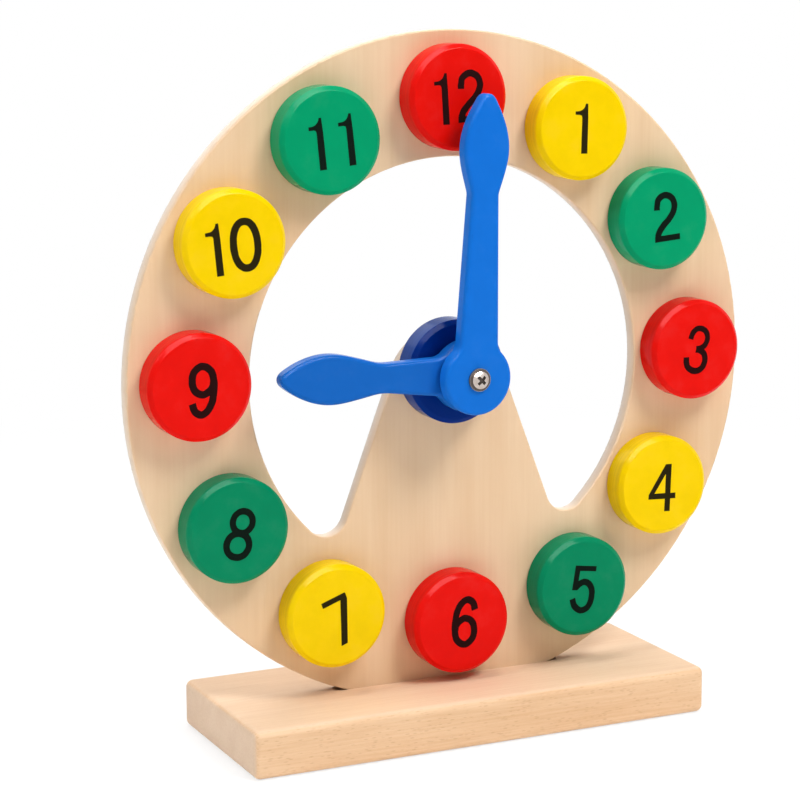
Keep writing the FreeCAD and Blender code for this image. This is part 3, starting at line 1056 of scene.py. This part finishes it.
def ink_film(name, hour, material):
    """The number on one disc as a thin closed film of ink on the disc's face."""
    turn, figures = NUMBER_LAYOUT[hour]
    centre = face_centre(disc_name(hour))
    cosine, sine = math.cos(math.radians(turn)), math.sin(math.radians(turn))
    thick, stray = sizes().print_thickness, sizes().numeral_wobble
    film = bmesh.new()
    for figure, right, up in figures:
        points, triangles = ink_triangles(*FIGURES[figure]())
        corners = []
        for point in points:
            x, z = point.x + right, point.y + up
            x, z = (x * cosine - z * sine) * MM, (x * sine + z * cosine) * MM
            shift = stray * noise.noise_vector(Vector((
                x * WAVES_PER_METRE, hour * WAVE_SHIFT_PER_HOUR, z * WAVES_PER_METRE)))
            corners.append(film.verts.new(
                (centre.x + x + shift.x, centre.y - thick / 2, centre.z + z + shift.z)))
        faces = [film.faces.new([corners[i] for i in triangle]) for triangle in triangles]
        lifted = bmesh.ops.extrude_face_region(film, geom=faces)["geom"]
        raised = [item for item in lifted if isinstance(item, bmesh.types.BMVert)]
        bmesh.ops.translate(film, verts=raised, vec=(0, thick, 0))
    loose = [corner for corner in film.verts if not corner.link_faces]
    bmesh.ops.delete(film, geom=loose, context="VERTS")
    bmesh.ops.recalc_face_normals(film, faces=film.faces)
    mesh = bpy.data.meshes.new(name)
    film.to_mesh(mesh)
    film.free()
    mesh.materials.append(material)
    return new_object(name, mesh)


class CLOCK_OT_numerals(bpy.types.Operator):
    """Prints the numbers 1 to 12 in black on the discs"""
    bl_idname = "clock.numerals"
    bl_label = "Printed Numbers"

    def execute(self, context):
        noise.seed_set(WAVE_SEED)
        inks = {colour: number_ink("ink_on_" + colour, getattr(colours(), colour))
                for colour in PAINT_OF_THIRD.values()}
        for hour in HOURS:
            piece = ink_film("number_print_%02d" % hour, hour, inks[PAINT_OF_THIRD[hour % 3]])
            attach(piece, "stand")
        return {"FINISHED"}


class CLOCK_OT_wood(bpy.types.Operator):
    """Gives the foot board and the face plate their beech wood"""
    bl_idname = "clock.wood"
    bl_label = "Beech Wood"

    def execute(self, context):
        finish_node("base_board", base_wood())
        finish_node("face_plate", plate_wood())
        return {"FINISHED"}


class CLOCK_OT_hands(bpy.types.Operator):
    """Paints the two hands blue and the hub disc navy"""
    bl_idname = "clock.hands"
    bl_label = "Hands and Hub"

    def execute(self, context):
        made = colours()
        finish_node("minute_hand", paint("minute_hand_blue", made.minute_blue))
        # The hour hand gets a darker copy of the blue paint as painted shade.
        finish_node("hour_hand", paint("hour_hand_blue", made.shaded_hour_blue, shift=(0.1, 0, 0.2)))
        finish_node("hub_disc", paint("hub_navy", made.hub_navy, shine=0.035, wall=made.hub_wall_sheen,
                                      turned=face_centre("hub_disc")))
        return {"FINISHED"}


class CLOCK_OT_screw(bpy.types.Operator):
    """Turns the pivot screw with its cross recess and finishes it and its washers in metal"""
    bl_idname = "clock.screw"
    bl_label = "Pivot Screw"

    def execute(self, context):
        low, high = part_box("pivot_screw")
        made = sizes()
        screw = made_by(cross_screw_tree(), "cross_screw", {
            "Head Radius": (high.x - low.x) / 2,
            "Dome Rise": made.screw_dome_rise,
            "Rim Height": made.screw_rim_height,
            "Body Radius": made.screw_body_radius,
            "Length": high.y - low.y,
            "Point Length": made.screw_point_length,
            "Ease": made.screw_ease,
            "Wing Span": made.recess_span,
            "Wing Width": made.recess_width,
            "Wing Depth": made.recess_depth,
            "Taper": made.recess_taper,
            "Turn": made.recess_turn,
            "Front Centre": tuple(face_centre("pivot_screw")),
            "Steel": metal("screw_steel", colours().steel, 0.16, 0.3, hollows=True),
        })
        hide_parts("pivot_screw")
        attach(screw, "stand")
        dull = metal("washer_steel", colours().washer, 0.3, 0.5)
        for node in ("head_washer", "hub_spacer_washer", "hand_spacer_washer"):
            finish_node(node, dull)
        return {"FINISHED"}


# Stage

FRAME_PIXELS = 800
FOCAL_PIXELS = 2444.8
AXIS_ACROSS, AXIS_DOWN = 470, 380.31
CAMERA_TARGET = Vector((7.664, 0.0, 98.762)) * MM
LAMP_TARGET = Vector((0, 0, 0.1))
LAMP_DISTANCE = 1.1
FLOOR_RADIUS = 3.0
FLOOR_DROP = 0.05 * MM

# Turn to the right of the front and rise, in degrees, width, and whether only gloss shows it
LAMPS = {
    "key": (30, 50, 0.42, False),
    "top": (0, 85, 0.42, False),
    "side": (-80, 40, 0.42, False),
    "back": (180, 60, 1.1, False),
    "glint": (-18, 55, 1.1, True),
    "rim": (-172, 28, 0.6, True),
}


def photo_camera():
    """The camera at the photograph's angle."""
    stage = bpy.context.scene.clock_stage
    forward = Vector((
        -math.sin(stage.heading) * math.cos(stage.pitch),
        math.cos(stage.heading) * math.cos(stage.pitch),
        math.sin(stage.pitch),
    ))
    level = forward.cross(Vector((0, 0, 1))).normalized()
    upward = level.cross(forward)
    right = level * math.cos(stage.roll) + upward * math.sin(stage.roll)
    up = upward * math.cos(stage.roll) - level * math.sin(stage.roll)
    data = bpy.data.cameras.new("photo_camera")
    data.sensor_width = 36.0
    data.lens = FOCAL_PIXELS * data.sensor_width / FRAME_PIXELS
    data.shift_x = (FRAME_PIXELS / 2 - AXIS_ACROSS) / FRAME_PIXELS
    data.shift_y = (AXIS_DOWN - FRAME_PIXELS / 2) / FRAME_PIXELS
    data.clip_start, data.clip_end = 0.01, 20.0
    camera = new_object("photo_camera", data)
    turn = Matrix((right, up, -forward)).transposed().to_4x4()
    camera.matrix_world = Matrix.Translation(CAMERA_TARGET - forward * stage.distance) @ turn
    bpy.context.scene.camera = camera


def soft_lamp(name, power, turn, rise, width, gloss_only):
    """A round lamp aimed at the dial."""
    turn, rise = math.radians(turn), math.radians(rise)
    outward = Vector((math.sin(turn) * math.cos(rise), -math.cos(turn) * math.cos(rise),
                      math.sin(rise)))
    data = bpy.data.lights.new(name, "AREA")
    data.shape = "DISK"
    data.size = width
    data.energy = power
    lamp = new_object(name, data)
    lamp.location = LAMP_TARGET + outward * LAMP_DISTANCE
    lamp.rotation_euler = outward.to_track_quat("Z", "Y").to_euler()
    lamp.visible_camera = False
    lamp.visible_diffuse = not gloss_only


def seen_directly(tree):
    """1 for rays that show the background: from the camera, off gloss and through glass."""
    rays = add(tree, "ShaderNodeLightPath").outputs
    seen = calc(tree, "MAXIMUM", rays["Is Camera Ray"], rays["Is Glossy Ray"])
    return calc(tree, "MAXIMUM", seen, rays["Is Transmission Ray"])


def white_world():
    """White to the eye and to gloss, and a faint even light on the rest."""
    world = bpy.data.worlds.new("white_surroundings")
    world.use_nodes = True
    tree = world.node_tree
    tree.nodes.clear()
    strength = add(tree, "ShaderNodeMapRange", {
        "Value": seen_directly(tree), "To Min": bpy.context.scene.clock_stage.sky_strength})
    background = add(tree, "ShaderNodeBackground", {
        "Color": WHITE, "Strength": strength.outputs["Result"]})
    output = add(tree, "ShaderNodeOutputWorld")
    tree.links.new(background.outputs[0], output.inputs["Surface"])
    bpy.context.scene.world = world


def white_floor():
    """A round floor that fades from a shaded white under the clock to plain white."""
    mesh = bpy.data.meshes.new("floor")
    disc = bmesh.new()
    bmesh.ops.create_circle(disc, cap_ends=True, segments=96, radius=FLOOR_RADIUS)
    bmesh.ops.translate(disc, verts=disc.verts, vec=(0, 0, -FLOOR_DROP))
    disc.to_mesh(mesh)
    disc.free()
    floor = new_object("floor", mesh)
    material, tree, shader = new_material("floor_white")
    shader.inputs["Base Color"].default_value = (0.95, 0.95, 0.95, 1.0)
    shader.inputs["Roughness"].default_value = 0.9
    glow = add(tree, "ShaderNodeEmission", {"Color": WHITE, "Strength": 1.0})
    reach = vector_calc(tree, "LENGTH", object_place(tree))
    share = times(tree, seen_directly(tree), spread(tree, reach, 0.12, 0.5, 0.72, 1.0))
    both = add(tree, "ShaderNodeMixShader", {
        0: share, 1: shader.outputs[0], 2: glow.outputs[0]})
    output = next(node for node in tree.nodes if node.type == "OUTPUT_MATERIAL")
    tree.links.new(both.outputs[0], output.inputs["Surface"])
    mesh.materials.append(material)


class CLOCK_OT_stage(bpy.types.Operator):
    """Sets up the white floor, the soft light and the camera"""
    bl_idname = "clock.stage"
    bl_label = "Stage"

    def execute(self, context):
        stage = context.scene.clock_stage
        white_floor()
        white_world()
        for name, setting in LAMPS.items():
            soft_lamp(name + "_lamp", getattr(stage, name + "_power"), *setting)
        photo_camera()
        context.scene.view_settings.view_transform = "Standard"
        return {"FINISHED"}


class CLOCK_PT_sidebar(bpy.types.Panel):
    """Lists the clock's pieces, colours and stage"""
    bl_label = "Teaching Clock"
    bl_idname = "CLOCK_PT_sidebar"
    bl_space_type = "VIEW_3D"
    bl_region_type = "UI"
    bl_category = "Clock"

    def draw(self, context):
        for name in SETTINGS:
            group = getattr(context.scene, name)
            box = self.layout.box()
            for entry in type(group).__annotations__:
                box.prop(group, entry)
        for operator in OPERATORS:
            self.layout.operator(operator.bl_idname)


SETTINGS = {
    "clock_sizes": ClockSizes,
    "clock_colours": ClockColours,
    "clock_stage": ClockStage,
}
OPERATORS = (
    CLOCK_OT_wood,
    CLOCK_OT_number_discs,
    CLOCK_OT_numerals,
    CLOCK_OT_hands,
    CLOCK_OT_screw,
    CLOCK_OT_stage,
)
CLASSES = (*SETTINGS.values(), *OPERATORS, CLOCK_PT_sidebar)


def register():
    for each in CLASSES:
        bpy.utils.register_class(each)
    for name, group in SETTINGS.items():
        setattr(bpy.types.Scene, name, bpy.props.PointerProperty(type=group))


def unregister():
    for name in SETTINGS:
        delattr(bpy.types.Scene, name)
    for each in reversed(CLASSES):
        bpy.utils.unregister_class(each)


def main():
    register()
    for operator in OPERATORS:
        group, name = operator.bl_idname.split(".")
        getattr(getattr(bpy.ops, group), name)()


if __name__ == "__main__":
    main()
